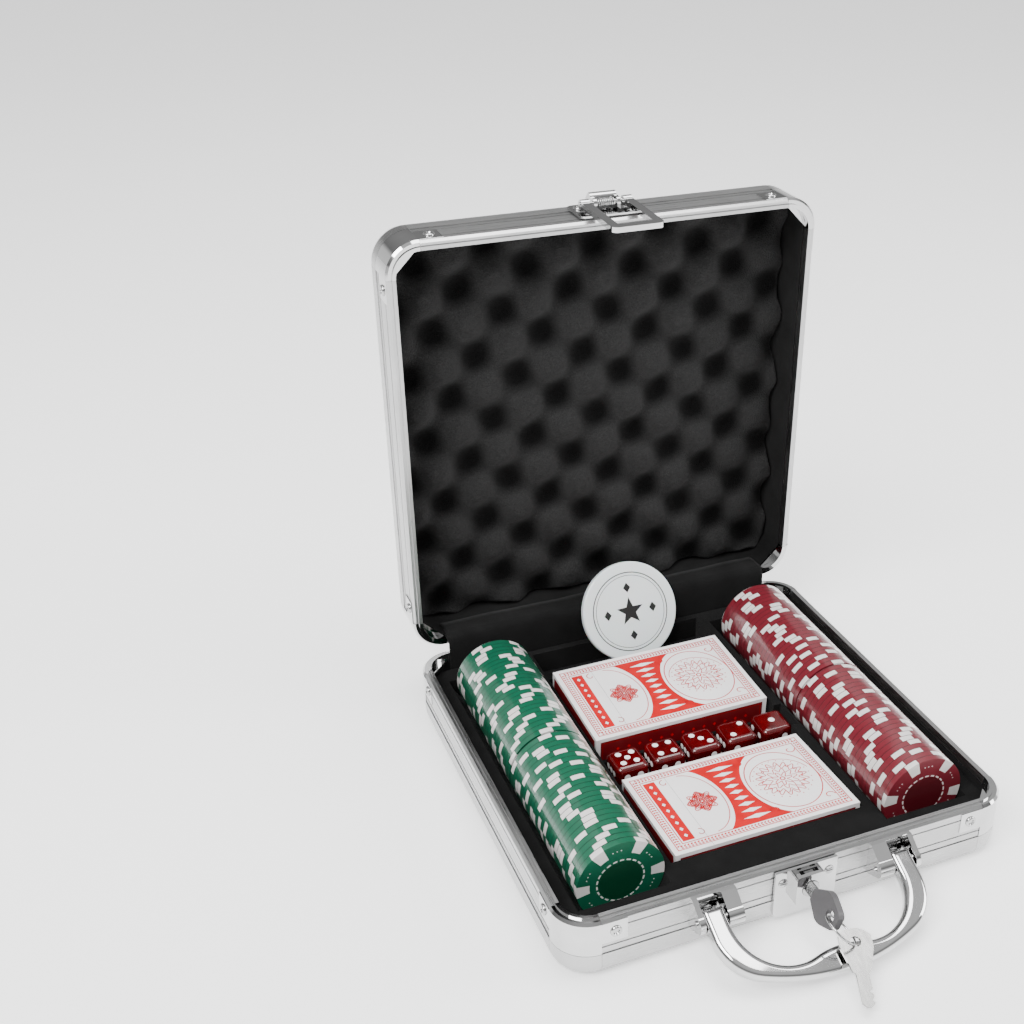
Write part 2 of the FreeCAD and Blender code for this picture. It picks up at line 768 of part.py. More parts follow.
def chip_stack(name, x, y_front, turn):
    """A wrap of twenty-five chips standing on edge, the first one facing the front."""
    chips = []
    for number in range(25):
        chip = doc.addObject("Part::Cylinder", name + "_chip")
        bind(chip, "Radius", size("chip_radius"))
        bind(chip, "Height", size("chip_thick"))
        along = number * size("chip_pitch") + size("chip_thick")
        chips.append(put(chip, 0, along, 0, SIDEWAYS, 90))
    group = doc.addObject("Part::Compound", name)
    group.Links = chips
    node(put(group, x, y_front, size("chip_level"), UPRIGHT, turn), name)


wrap_step = 25 * size("chip_pitch") - (size("chip_pitch") - size("chip_thick")) + size("wrap_gap")
green_front = -79.9
red_front = -82.6
chip_stack("chips_green_front", -71.1, green_front, 0.2)
chip_stack("chips_green_rear", -71.4, green_front + wrap_step, -0.2)
chip_stack("chips_red_front", 71.9, red_front, -0.5)
chip_stack("chips_red_rear", 72.7, red_front + wrap_step, -0.3)


def card_box(name, x, y, top, tilt):
    """A closed tuck box lying flat, placed by the middle of its top face."""
    box = new_body(name)
    sketch = sketch_on(box, "XY_Plane")
    long = size("box_length") / 2
    wide = size("box_width") / 2
    rectangle(sketch, -long, -wide, long, wide)
    pad(box, sketch, size("box_height"), backwards=True)
    node(put(box, x, y, top, SIDEWAYS, tilt), name)


card_box("card_box_front", 1.2, -45.1, 21.6, -2.1)
card_box("card_box_rear", -0.5, 37.9, 25.8, 2.2)


for number in range(5):
    die = new_body("die")
    half = size("die_side") / 2
    sketch = sketch_on(die, "XY_Plane")
    rectangle(sketch, -half, -half, half, half)
    cube = pad(die, sketch, half * 2, both_ways=True)
    doc.recompute()
    softened = die.newObject("PartDesign::Fillet", "die_rounding")
    softened.Base = (cube, ["Edge%d" % (i + 1) for i in range(12)])
    bind(softened, "Radius", size("die_round"))
    x = size("dice_place") + (number - 2) * size("dice_pitch")
    node(put(die, x, slot_middle, size("dice_floor") + 0.3 + half), "die_%d" % (number + 1))

button = new_body("dealer_button")
sketch = sketch_on(button, "XZ_Plane")
radius = size("button_radius")
half = size("button_thick") / 2
trace(sketch, (0, -half), (radius - 1, -half), Turn(1), (radius, 1 - half), (radius, half - 1),
      Turn(1), (radius - 1, half), (0, half))
turned(button, sketch)
node(put(button, 7.7, 93.5, 34.6, SIDEWAYS, 90 - size("button_lean")), "dealer_button")


# ---------------------------------------------------------------- handle and brackets

pivot_y = -front - size("pivot_depth")
pivot_z = size("pivot_level")
handle = new_body("handle_bar")
half_wide = size("handle_half")
reach = size("handle_reach")
leg = size("leg_width")
thick = size("handle_thick")
rise = 6.8
inside = half_wide - leg
sketch = sketch_on(handle, "XY_Plane")
shoulder = half_wide - 13.8
swell = 11
trace(sketch, (half_wide, thick / 2), (half_wide, -9), Turn(-22.1), (shoulder, rise - reach),
      Turn(-92), (-shoulder, rise - reach), Turn(-22.1), (-half_wide, -9), (-half_wide, thick / 2),
      (-inside, thick / 2), (-inside, -6), Turn(21.8), (-swell, -26.94), Turn(-39.6),
      (swell, -26.94), Turn(21.8), (inside, -6), (inside, thick / 2))
bar = pad(handle, sketch, thick, both_ways=True)
doc.recompute()


def flat_side_edges(shape, half_thick):
    """Names of the edges that lie in either flat side of a plate centred on its middle plane."""
    names = []
    for index, each in enumerate(shape.Edges, start=1):
        box = each.BoundBox
        if box.ZLength < 0.01 and abs(abs(box.ZMin) - half_thick) < 0.01:
            names.append("Edge%d" % index)
    return names


softened = handle.newObject("PartDesign::Fillet", "handle_rounding")
softened.Base = (bar, flat_side_edges(bar.Shape, plain(thick) / 2))
softened.Radius = 2.8
doc.recompute()
bore = sketch_on(handle, "YZ_Plane")
ring(bore, 0, 0, size("handle_pin_radius") + size("pin_play"))
pocket(handle, bore, width, both_ways=True)
node(put(handle, 0, pivot_y, pivot_z, SIDEWAYS, size("handle_droop")), "handle_bar")


def handle_bracket(name, hand):
    """A pressed bracket: a back plate with a narrow outer ear and a wide inner ear."""
    body = new_body(name)
    nose = size("ear_radius")
    low = size("bracket_low")
    high = size("bracket_high")
    face = band - front
    plate = face - size("bracket_plate")
    outer = size("bracket_outer")
    inner = size("bracket_inner")

    def across(first, last):
        return (hand * first, last - first, hand < 0)

    for first, last in ((inner, inner + 6.8), (outer - 2.3, outer)):
        start, length, backwards = across(first, last)
        ear = sketch_on(body, "YZ_Plane", start)
        trace(ear, (face, low), (face, high), (plate - 0.6, high), (pivot_y - 0.33 * nose, pivot_z + 0.944 * nose),
              Turn(nose), (pivot_y - 0.33 * nose, pivot_z - 0.944 * nose), (plate - 0.6, low))
        pad(body, ear, length, backwards=backwards)
    start, length, backwards = across(inner, outer)
    back = sketch_on(body, "YZ_Plane", start)
    rectangle(back, plate, low, face, high)
    pad(body, back, length, backwards=backwards)
    bore = sketch_on(body, "YZ_Plane")
    ring(bore, pivot_y, pivot_z, size("handle_pin_radius"))
    pocket(body, bore, width, both_ways=True)
    node(body, name)


handle_bracket("handle_bracket_left", -1)
handle_bracket("handle_bracket_right", 1)
pins = []
for hand in (-1, 1):
    length = size("bracket_outer") - size("bracket_inner")
    start = size("bracket_inner") + 0.6 if hand > 0 else -size("bracket_outer") - 0.6
    pins.append(round_bar("handle_pin", size("handle_pin_radius"), length, start, pivot_y, pivot_z))
together(pins, "handle_pins")


def screw(name, x, y, z):
    """A low domed screw head with a straight slot, facing the front."""
    body = new_body(name)
    radius = size("screw_radius")
    sketch = sketch_on(body, "XZ_Plane")
    trace(sketch, (0, 0), (radius, 0), (radius, 0.2), Turn(5), (0, 0.7))
    turned(body, sketch)
    slot = sketch_on(body, "XY_Plane", 0.3)
    rectangle(slot, -radius, -0.3, radius, 0.3)
    pocket(body, slot, 1, backwards=True)
    return facing(body, 0, -1, x, y, z)


middle = size("lock_shift")
lock_face = band - front - size("lock_thick")
plate_face = band - front - size("bracket_plate")
screw_x = (size("bracket_outer") + size("bracket_inner")) / 2 + 2.2
together([
    screw("base_screw", -screw_x, plate_face, pivot_z + 0.8),
    screw("base_screw", screw_x, plate_face, pivot_z + 0.8),
    screw("base_screw", middle - 10.8, lock_face - 0.4, pivot_z + 2),
    screw("base_screw", middle + 10.8, lock_face - 0.4, pivot_z + 2),
], "base_screws")


# ---------------------------------------------------------------- lock, bolt and keys

key_z = size("key_level")
boss_face = -front - size("boss_proud")
boss_half = size("boss_width") / 2
lock = new_body("lock_plate")
plate = sketch_on(lock, "XZ_Plane", front)
low = size("lock_low")
high = size("lock_high")
half = size("lock_width") / 2
trace(plate, (middle - half, high), (middle - half, low + 3), Turn(3), (middle - half + 3, low),
      (middle + half - 3, low), Turn(3), (middle + half, low + 3), (middle + half, high))
pad(lock, plate, size("lock_thick"))
boss = sketch_on(lock, "XZ_Plane", front)
boss_high = size("boss_high")
rounded(boss, middle - boss_half, size("boss_low"), middle + boss_half, boss_high, 1.6)
pad(lock, boss, size("boss_proud"))
bore = sketch_on(lock, "XZ_Plane", front)
ring(bore, middle, key_z, size("cylinder_radius") + 0.1)
pocket(lock, bore, size("boss_proud") + 1, backwards=True)
slot = sketch_on(lock, "XY_Plane", boss_high - 3)
rectangle(slot, middle - 4.2, boss_face + 1.6, middle + 4.2, boss_face + 3.8)
pocket(lock, slot, 5, backwards=True)
node(lock, "lock_plate")

turn = size("key_turn")
TOWARDS_BACK = FreeCAD.Vector(0, 1, 0)
blade_half = size("blade_thick") / 2
blade_wide = size("blade_width") / 2
cylinder = new_body("lock_cylinder")
sketch = sketch_on(cylinder, "XZ_Plane")
ring(sketch, 0, 0, size("cylinder_radius"))
pad(cylinder, sketch, size("boss_proud") + 0.3)
keyway = sketch_on(cylinder, "XZ_Plane", 0.6)
rectangle(keyway, -blade_half, -blade_wide, blade_half, blade_wide)
pocket(cylinder, keyway, 20, backwards=True)
node(put(cylinder, middle, -front - 0.1, key_z, TOWARDS_BACK, turn), "lock_cylinder")

blade = new_body("key_blade")
sketch = sketch_on(blade, "YZ_Plane")
tip = -0.7
outside = -size("boss_proud") - 6
rectangle(sketch, outside, -blade_wide, tip, blade_wide)
pad(blade, sketch, size("blade_thick"), both_ways=True)
node(put(blade, middle, -front - 0.1, key_z, TOWARDS_BACK, turn), "key_blade")

hole = -size("boss_proud") - size("key_hole_reach")
bow = new_body("key_head")
sketch = sketch_on(bow, "YZ_Plane")
neck = -size("boss_proud") - 3.4
trace(sketch, (neck, -2.6), (neck, 2.6), (neck - 6.5, 6.9), Turn(7), (neck - 11, 6.9),
      (neck - 16.6, 4.6), Turn(3.6), (neck - 18.6, 2.4), (neck - 18.6, -2.4), Turn(3.6),
      (neck - 16.6, -4.6), (neck - 11, -6.9), Turn(7), (neck - 6.5, -6.9))
pad(bow, sketch, size("bow_thick"), both_ways=True)
eye = sketch_on(bow, "YZ_Plane")
ring(eye, hole, 0, 2.7)
pocket(bow, eye, 10, both_ways=True)
socket = sketch_on(bow, "YZ_Plane")
rectangle(socket, outside, -blade_wide, neck + 1, blade_wide)
pocket(bow, socket, size("blade_thick"), both_ways=True)
node(put(bow, middle, -front - 0.1, key_z, TOWARDS_BACK, turn), "key_head")

bolt = doc.addObject("Part::Box", "lock_bolt")
bolt.Length = 4
bolt.Width = 1.6
bolt.Height = 2.2
node(put(bolt, middle - 2, boss_face + 1.9, boss_high - 2.7), "lock_bolt")

# The ring hangs in the bow's hole and carries the spare key, which lies on the grip.
hook = FreeCAD.Vector(plain(middle), plain(hole - front - 0.1), plain(key_z))
spare_hole = FreeCAD.Vector(5.1, -137.5, 13.9)
chord = spare_hole - hook
wire_way = FreeCAD.Vector(-0.664, -0.442, 0.604)
flat = chord.cross(wire_way).normalize()
into = flat.cross(chord).normalize()
sag = math.sqrt(plain(size("ring_radius")) ** 2 - (chord.Length / 2) ** 2)
loop = doc.addObject("Part::Torus", "key_ring")
bind(loop, "Radius1", size("ring_radius"))
bind(loop, "Radius2", size("ring_wire"))
loop.Placement = FreeCAD.Placement(hook + chord * 0.5 + into * sag, FreeCAD.Rotation(UPRIGHT, flat))
node(loop, "key_ring")

spare = new_body("spare_key")
sketch = sketch_on(spare, "XY_Plane")
trace(sketch, (-2.7, -13), (-2.7, -25.2), (-0.9, -26.8), (1, -26.8), (2.7, -25.2), (1.5, -24.1),
      (2.7, -22.9), (2.7, -21.7), (1.3, -20.6), (2.7, -19.4), (2.7, -13), (3.8, -12.4), (6.9, -2.5),
      (6.9, 2.6), Turn(9), (-6.9, 2.6), (-6.9, -2.5), (-3.8, -12.4))
pad(spare, sketch, size("spare_thick"), both_ways=True)
eye = sketch_on(spare, "XY_Plane")
ring(eye, 0, 0, 2.2)
pocket(spare, eye, 10, both_ways=True)
node(spare, "spare_key")
lie = FreeCAD.Rotation(SIDEWAYS, 21).multiply(FreeCAD.Rotation(UPRIGHT, -15.8))
spare.Placement = FreeCAD.Placement(spare_hole, lie)


# ---------------------------------------------------------------- latch and hasp, on the lid

pin_y = front + size("hasp_proud")
pin_z = height - size("hasp_pivot")
latch = new_body("latch_plate")
near = height - size("latch_near")
far = height - size("latch_far")
half = size("latch_width") / 2
plate = sketch_on(latch, "XZ_Plane", -front)
rounded(plate, middle - half, far, middle + half, near, 2.5)
pad(latch, plate, 1, backwards=True)
backing = sketch_on(latch, "XZ_Plane", band - front)
rectangle(backing, middle - half + 1, seam + gap * 2, middle + half - 1, near - 2.5)
pad(latch, backing, band, backwards=True)
housing = sketch_on(latch, "YZ_Plane", middle - size("housing_width") / 2)
trace(housing, (front, far + 1), (front + 2, far + 1), Turn(9), (front + 7.4, far + 4.6),
      (front + 7.4, far + 5.6), Turn(2.6), (front + 5.4, far + 7.6), (front, far + 7.6))
pad(latch, housing, size("housing_width"))
nose = 2.1
for hand in (-1, 1):
    start = middle + hand * size("housing_width") / 2
    ear = sketch_on(latch, "YZ_Plane", start)
    trace(ear, (front, far + 6), (pin_y + nose, far + 6), (pin_y + nose, pin_z), Turn(nose),
          (pin_y, pin_z + nose), (front, pin_z + nose))
    pad(latch, ear, 1.6, backwards=hand > 0)
bore = sketch_on(latch, "YZ_Plane", middle)
ring(bore, pin_y, pin_z, size("hasp_pin_radius"))
pocket(latch, bore, width, both_ways=True)
node(latch, "latch_plate", True)
ears = []
for hand in (-1, 1):
    rivet = hollow_rivet("latch_rivet")
    ears.append(facing(rivet, 0, 1, middle + hand * 11.6, front + 1, far + 6))
together(ears, "latch_rivets", True)

hasp_half = size("hasp_width") / 2
window = size("hasp_window") / 2
length = size("hasp_length")
hasp = new_body("hasp")
frame = sketch_on(hasp, "XZ_Plane")
bar = size("hasp_bar")
trace(frame, (-hasp_half, 0), (-window, 0), (-window, length - bar), (window, length - bar), (window, 0),
      (hasp_half, 0), (hasp_half, length - 3), Turn(3), (hasp_half - 3, length),
      (3 - hasp_half, length), Turn(3), (-hasp_half, length - 3))
pad(hasp, frame, size("hasp_thick"), both_ways=True)
barrel = sketch_on(hasp, "YZ_Plane")
ring(barrel, 0, 0, 2.2)
pad(hasp, barrel, hasp_half * 2, both_ways=True)
room = sketch_on(hasp, "XZ_Plane")
rectangle(room, -window, -5, window, 5)
pocket(hasp, room, 20, both_ways=True)
bore = sketch_on(hasp, "YZ_Plane")
ring(bore, 0, 0, size("hasp_pin_radius") + size("pin_play"))
pocket(hasp, bore, width, both_ways=True)
together([put(hasp, middle, pin_y, pin_z, SIDEWAYS, 1.7)], "hasp_frame", True)

together([round_bar("latch_pin", size("hasp_pin_radius"), hasp_half * 2 + 1, middle - hasp_half - 0.5,
                    pin_y, pin_z)], "hasp_pin", True)
spring = new_body("spring")
coil = sketch_on(spring, "YZ_Plane")
ring(coil, 0, 0, 1.8)
ring(coil, 0, 0, size("hasp_pin_radius"))
pad(spring, coil, size("housing_width") - 4, both_ways=True)
together([put(spring, middle, pin_y, pin_z)], "hasp_spring", True)


# ---------------------------------------------------------------- check and write

doc.recompute()
for thing in doc.Objects:
    if "Invalid" in thing.State or "Error" in thing.State:
        raise RuntimeError("%s did not compute" % thing.Label)
labels = [thing.Label for thing in NODES]
if len(set(labels)) != len(labels):
    raise RuntimeError("two sub-parts share a name")
for thing in NODES:
    if thing.Shape.isNull() or not thing.Shape.isValid() or not thing.Shape.Solids:
        raise RuntimeError("%s is not a valid solid" % thing.Label)

os.makedirs("parts", exist_ok=True)
for thing in NODES:
    thing.Shape.exportStep(os.path.join("parts", thing.Label + ".step"))
print("%d sub-parts written" % len(NODES))
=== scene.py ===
"""Poker chip case: looks, printed marks, cloth, foam, floor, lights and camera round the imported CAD.

The row frame is in metres.  The print, foam, flap and spring code counts in millimetres and is turned
into metres with MM.
"""
import math
import bpy
from mathutils import Matrix, Vector


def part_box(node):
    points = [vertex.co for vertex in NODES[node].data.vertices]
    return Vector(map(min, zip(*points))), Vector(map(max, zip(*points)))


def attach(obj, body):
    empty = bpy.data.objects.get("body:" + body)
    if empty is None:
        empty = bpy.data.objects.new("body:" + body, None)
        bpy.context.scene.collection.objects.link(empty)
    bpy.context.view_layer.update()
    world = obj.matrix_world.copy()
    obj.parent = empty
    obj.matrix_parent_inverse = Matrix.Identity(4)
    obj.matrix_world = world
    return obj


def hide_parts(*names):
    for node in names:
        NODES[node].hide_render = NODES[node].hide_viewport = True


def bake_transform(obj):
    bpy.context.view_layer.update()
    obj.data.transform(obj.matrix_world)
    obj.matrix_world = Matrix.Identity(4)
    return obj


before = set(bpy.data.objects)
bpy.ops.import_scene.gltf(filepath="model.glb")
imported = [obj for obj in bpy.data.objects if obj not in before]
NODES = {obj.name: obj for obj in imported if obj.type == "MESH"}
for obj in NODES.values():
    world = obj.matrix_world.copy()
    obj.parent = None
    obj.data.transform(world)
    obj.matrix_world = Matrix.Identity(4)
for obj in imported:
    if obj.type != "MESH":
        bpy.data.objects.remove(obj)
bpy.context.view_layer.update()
MM = 0.001
NOISE_ROUGHNESS = 0.55
BRUSH_DEPTH = 0.02 * MM


# ------------------------------------------------------------------ shader helpers

def fill_ramp(elements, stops):
    """Set the elements of a colour ramp to (position, colour) stops."""
    while len(elements) < len(stops):
        elements.new(0.5)
    for element, (position, color) in zip(elements, stops):
        element.position = position
        element.color = (*color, 1)


class Shader:
    """A Principled material, built up with short calls."""

    def __init__(self, name, color, rough=0.5, metal=0.0, **extra):
        self.material = bpy.data.materials.new(name)
        self.material.use_nodes = True
        self.tree = self.material.node_tree
        self.main = self.tree.nodes["Principled BSDF"]
        self.put("Base Color", (*color, 1))
        self.put("Roughness", rough)
        self.put("Metallic", metal)
        for key, value in extra.items():
            self.put(key.replace("_", " "), value)

    def put(self, socket, value):
        if isinstance(value, bpy.types.NodeSocket):
            self.tree.links.new(value, self.main.inputs[socket])
        else:
            self.main.inputs[socket].default_value = value

    def add(self, kind, *values, **settings):
        """A node with its inputs filled in order; the first output comes back."""
        made = self.tree.nodes.new("ShaderNode" + kind)
        for key, value in settings.items():
            setattr(made, key, value)
        for socket, value in zip(made.inputs, values):
            if isinstance(value, bpy.types.NodeSocket):
                self.tree.links.new(value, socket)
            elif value is not None:
                socket.default_value = value
        return made.outputs[0]

    def math(self, operation, *values):
        return self.add("Math", *values, operation=operation)

    def place(self):
        """Row-frame position, in metres."""
        return self.tree.nodes.new("ShaderNodeTexCoord").outputs["Object"]

    def axes(self):
        parts = self.tree.nodes.new("ShaderNodeSeparateXYZ")
        self.tree.links.new(self.place(), parts.inputs[0])
        return parts.outputs[0], parts.outputs[1], parts.outputs[2]

    def noise(self, scale, stretch=(1, 1, 1), detail=3.0):
        """Cloudy noise in the row frame; a small stretch value draws it out along that axis."""
        mapped = self.add("Mapping", self.place(), (0, 0, 0), (0, 0, 0), stretch)
        return self.add("TexNoise", mapped, None, scale, detail, NOISE_ROUGHNESS)

    def ramp(self, value, *stops):
        """Map a value through (position, colour) stops."""
        made = self.tree.nodes.new("ShaderNodeValToRGB")
        self.tree.links.new(value, made.inputs[0])
        fill_ramp(made.color_ramp.elements, stops)
        return made.outputs[0]

    def mix(self, amount, first, second):
        made = self.tree.nodes.new("ShaderNodeMix")
        made.data_type = "RGBA"
        ports = (made.inputs[0], made.inputs[6], made.inputs[7])
        for socket, value in zip(ports, (amount, first, second)):
            if isinstance(value, bpy.types.NodeSocket):
                self.tree.links.new(value, socket)
            else:
                socket.default_value = value
        return made.outputs[2]

    def bump(self, height, distance, strength=1.0):
        made = self.tree.nodes.new("ShaderNodeBump")
        made.inputs["Strength"].default_value = strength
        made.inputs["Distance"].default_value = distance
        self.tree.links.new(height, made.inputs["Height"])
        self.put("Normal", made.outputs[0])


def grey(level):
    return (level, level, level)


def metal(name, level, rough, lines=None, line_size=2600, tint=(1, 1, 1)):
    """Aluminium or plated steel, with faint lines along one direction where it is brushed."""
    color = tuple(level * t for t in tint)
    made = Shader(name, color, rough, 1.0)
    cloud = made.noise(40, detail=4)
    darker = tuple(c * 0.9 for c in color)
    made.put("Base Color", made.ramp(cloud, (0.35, darker), (0.65, color)))
    if lines:
        streak = made.noise(line_size, lines, detail=2)
        made.bump(streak, BRUSH_DEPTH, 0.6)
        made.put("Roughness", made.add("MapRange", streak, 0.3, 0.7, rough * 0.85, rough * 1.15))
    else:
        smear = made.noise(120, detail=3)
        made.put("Roughness", made.add("MapRange", smear, 0.3, 0.7, rough * 0.7, rough * 1.4))
    return made.material


ALONG_X = (0.02, 1, 1)
ALONG_Y = (1, 0.02, 1)
ALONG_Z = (1, 1, 0.02)
rail_x = metal("rail brushed across", 0.50, 0.3, ALONG_X)
rail_y = metal("rail brushed along", 0.50, 0.3, ALONG_Y)
rail_z = metal("rail brushed up", 0.50, 0.3, ALONG_Z)
ribbed = metal("ribbed panel", 0.50, 0.36, ALONG_X, 1800)
satin = metal("satin corner", 0.52, 0.22)
chrome = metal("chrome", 0.62, 0.06)
plated = metal("bright plating", 0.5, 0.16)
steel = metal("key steel", 0.40, 0.24, ALONG_Y, 500, tint=(1, 0.99, 0.97))
nickel = metal("ring wire", 0.42, 0.16)
label_face = metal("label plate", 0.62, 0.38, ALONG_X, 600)

cloth = Shader("black cloth", grey(0.005), 0.95, Sheen_Weight=0.03, Specular_IOR_Level=0.15)
weave = cloth.add("TexNoise", cloth.place(), None, 2600.0, 2.0)
cloth.bump(weave, 0.00025, 0.5)
cloth.put("Base Color", cloth.ramp(cloth.noise(60), (0.3, grey(0.003)), (0.7, grey(0.007))))
cloth = cloth.material

flock = Shader("black flock", grey(0.005), 1.0, Sheen_Weight=0.05, Sheen_Roughness=0.45,
               Specular_IOR_Level=0.15)
nap = flock.add("TexNoise", flock.place(), None, 4200.0, 2.0)
flock.bump(nap, 0.0002, 0.7)
flock.put("Base Color", flock.ramp(flock.noise(90, detail=5), (0.3, grey(0.0015)), (0.72, grey(0.0045))))
flock = flock.material

foam_look = Shader("charcoal foam", grey(0.015), 1.0, Sheen_Weight=0.04, Specular_IOR_Level=0.1)
cells = foam_look.add("TexNoise", foam_look.place(), None, 2400.0, 3.0)
speck = foam_look.add("TexVoronoi", foam_look.place(), None, 1500.0)
foam_look.bump(foam_look.math("ADD", cells, speck), 0.0004, 0.8)
# Painted shade: the foam's colour goes darker down into the pits by height, standing in for the shade
# that falls in its hollows.
pit_shade_height = foam_look.tree.nodes.new("ShaderNodeAttribute")
pit_shade_height.attribute_name = "pit_shade_height"
painted_pit_shade = foam_look.ramp(pit_shade_height.outputs["Fac"], (0.25, grey(0.003)), (0.75, grey(0.030)))
grain = foam_look.ramp(cells, (0.3, grey(0.35)), (0.7, grey(1.0)))
foam_look.put("Base Color", foam_look.add("VectorMath", painted_pit_shade, grain, operation="MULTIPLY"))
foam_look = foam_look.material

rubber = Shader("black plastic foot", grey(0.02), 0.5)
rubber.bump(rubber.noise(1800), 0.00005, 0.4)
rubber = rubber.material

bow_plastic = Shader("grey key plastic", (0.075, 0.072, 0.075), 0.42)
bow_plastic.bump(bow_plastic.noise(1500), 0.00004, 0.5)
bow_plastic = bow_plastic.material

button_look = Shader("button white", (0.86, 0.86, 0.85), 0.22, Coat_Weight=0.4, Subsurface_Weight=0.15)
button_look.bump(button_look.noise(160), 0.00004, 0.3)
button_look = button_look.material
ink = Shader("button ink", grey(0.012), 0.35)
ink.bump(ink.noise(900), 0.00002, 0.3)
ink = ink.material

card_white = Shader("card box white", (0.86, 0.84, 0.84), 0.34, Coat_Weight=0.12, Coat_Roughness=0.12)
card_white.bump(card_white.noise(90), 0.00006, 0.35)
card_white.put("Base Color", card_white.ramp(card_white.noise(25), (0.3, (0.80, 0.78, 0.78)),
                                             (0.7, (0.88, 0.86, 0.86))))
card_white = card_white.material
card_red = Shader("card box red", (0.50, 0.004, 0.008), 0.45, Specular_IOR_Level=0.2)
card_red.put("Base Color", card_red.ramp(card_red.noise(200), (0.3, (0.42, 0.003, 0.006)),
                                         (0.7, (0.54, 0.005, 0.010))))
card_red = card_red.material
card_dark = Shader("card box side red", (0.13, 0.002, 0.005), 0.4, Coat_Weight=0.1)
card_dark.bump(card_dark.noise(120), 0.00005, 0.3)
card_dark = card_dark.material
card_line = Shader("card box cut line", grey(0.25), 0.6)
card_line.bump(card_line.noise(800), 0.00002, 0.3)
card_line = card_line.material

dice_look = Shader("translucent red dice", (0.20, 0.002, 0.005), 0.08, Transmission_Weight=0.45,
                   IOR=1.49, Coat_Weight=0.6, Coat_Roughness=0.05)
swirl = dice_look.noise(160, detail=4)
dice_look.put("Base Color", dice_look.ramp(swirl, (0.3, (0.07, 0.001, 0.002)),
                                           (0.7, (0.18, 0.002, 0.005))))
dice_look = dice_look.material
pip_white = Shader("dice pip white", (0.88, 0.87, 0.86), 0.35)
pip_white.bump(pip_white.noise(900), 0.00002, 0.3)
pip_white = pip_white.material


# ------------------------------------------------------------------ chips

CHIP_RADIUS = 19.5 * MM
CHIP_PITCH = 3.17 * MM
CHIP_COUNT_SHIFT = 0.02 * MM      # moves the count just off the first chip's face
EDGE_SPOTS = 6
SPOT_SHARE = 0.29           # how much of each sixth of the edge is spot
RING_DASHES = 22
DASH_SHARE = 0.62
GAP_SHADE_START = 0.90           # where in a chip's thickness the painted shade of the gap to the next chip begins


def chip_look(name, color, deep, middle_x, middle_z, first_y, seed):
    """Moulded chips: edge spots at a different turn on every chip, a darker inlay and painted shade
    lines for the gaps between chips.
    """
    made = Shader(name, color, 0.34, Coat_Weight=1.0, Coat_Roughness=0.06)
    x, y, z = made.axes()
    across = made.math("SUBTRACT", x, middle_x)
    up = made.math("SUBTRACT", z, middle_z)
    turn = made.math("DIVIDE", made.math("ARCTAN2", up, across), 2 * math.pi)
    reach = made.math("SQRT", made.math("ADD", made.math("MULTIPLY", across, across),
                                        made.math("MULTIPLY", up, up)))
    count = made.math("DIVIDE", made.math("SUBTRACT", y, first_y - CHIP_COUNT_SHIFT), CHIP_PITCH)
    chip = made.math("FLOOR", count)
    within = made.math("FRACT", count)
    chance = made.add("TexWhiteNoise", None, made.math("ADD", chip, seed + 0.5), noise_dimensions="1D")
    wave = made.math("MULTIPLY", chance, 2.4)
    phase = made.math("FRACT", made.math("ADD", made.math("MULTIPLY", turn, EDGE_SPOTS), wave))
    spot = made.math("LESS_THAN", phase, SPOT_SHARE)
    outer = made.math("GREATER_THAN", reach, CHIP_RADIUS * 0.70)
    spot = made.math("MULTIPLY", spot, outer)
    inlay = made.math("LESS_THAN", reach, CHIP_RADIUS * 0.5)
    ring_band = made.math("COMPARE", reach, CHIP_RADIUS * 0.535, CHIP_RADIUS * 0.018)
    around = made.math("FRACT", made.math("MULTIPLY", turn, RING_DASHES))
    dashes = made.math("LESS_THAN", around, DASH_SHARE)
    ring_band = made.math("MULTIPLY", ring_band, dashes)
    dot_row = made.math("COMPARE", reach, CHIP_RADIUS * 0.80, CHIP_RADIUS * 0.014)
    dot_step = made.math("FRACT", made.math("MULTIPLY", phase, 9))
    dot_turn = made.math("COMPARE", dot_step, 0.5, 0.13)
    dot_zone = made.math("COMPARE", phase, 0.69, 0.165)
    dots = made.math("MULTIPLY", made.math("MULTIPLY", dot_row, dot_turn), dot_zone)
    cloud = made.noise(300, detail=3)
    body = made.mix(cloud, (*[c * 0.86 for c in color], 1), (*color, 1))
    body = made.mix(inlay, body, (*deep, 1))
    pale = made.mix(cloud, (0.60, 0.57, 0.56, 1), (0.74, 0.71, 0.69, 1))
    light = made.math("MAXIMUM", made.math("MAXIMUM", spot, ring_band), dots)
    body = made.mix(light, body, pale)
    # Painted shade: a dark band at the end of each chip's thickness stands in for the shade in the thin
    # gap between stacked chips; the same band also cuts a shallow groove in the bump.
    gap_shade = made.math("GREATER_THAN", within, GAP_SHADE_START)
    body = made.mix(made.math("MULTIPLY", gap_shade, 0.9), body, (*[c * 0.18 for c in color], 1))
    made.put("Base Color", body)
    film = made.noise(130, (1, 0.25, 1), 2)
    made.bump(made.math("ADD", film, made.math("MULTIPLY", gap_shade, -0.8)), 0.00022, 0.35)
    made.put("Coat Roughness", made.add("MapRange", film, 0.3, 0.7, 0.03, 0.16))
    return made.material


GREEN = ((0.004, 0.095, 0.048), (0.001, 0.04, 0.017))
RED = ((0.15, 0.011, 0.020), (0.07, 0.004, 0.008))
for node, colors, seed in (("chips_green_front", GREEN, 11), ("chips_green_rear", GREEN, 47),
                           ("chips_red_front", RED, 83), ("chips_red_rear", RED, 131)):
    low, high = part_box(node)
    middle = (low + high) / 2
    look = chip_look(node.replace("_", " "), *colors, middle.x, middle.z, low.y, seed)
    NODES[node].data.materials.clear()
    NODES[node].data.materials.append(look)


# ------------------------------------------------------------------ looks on the CAD pieces

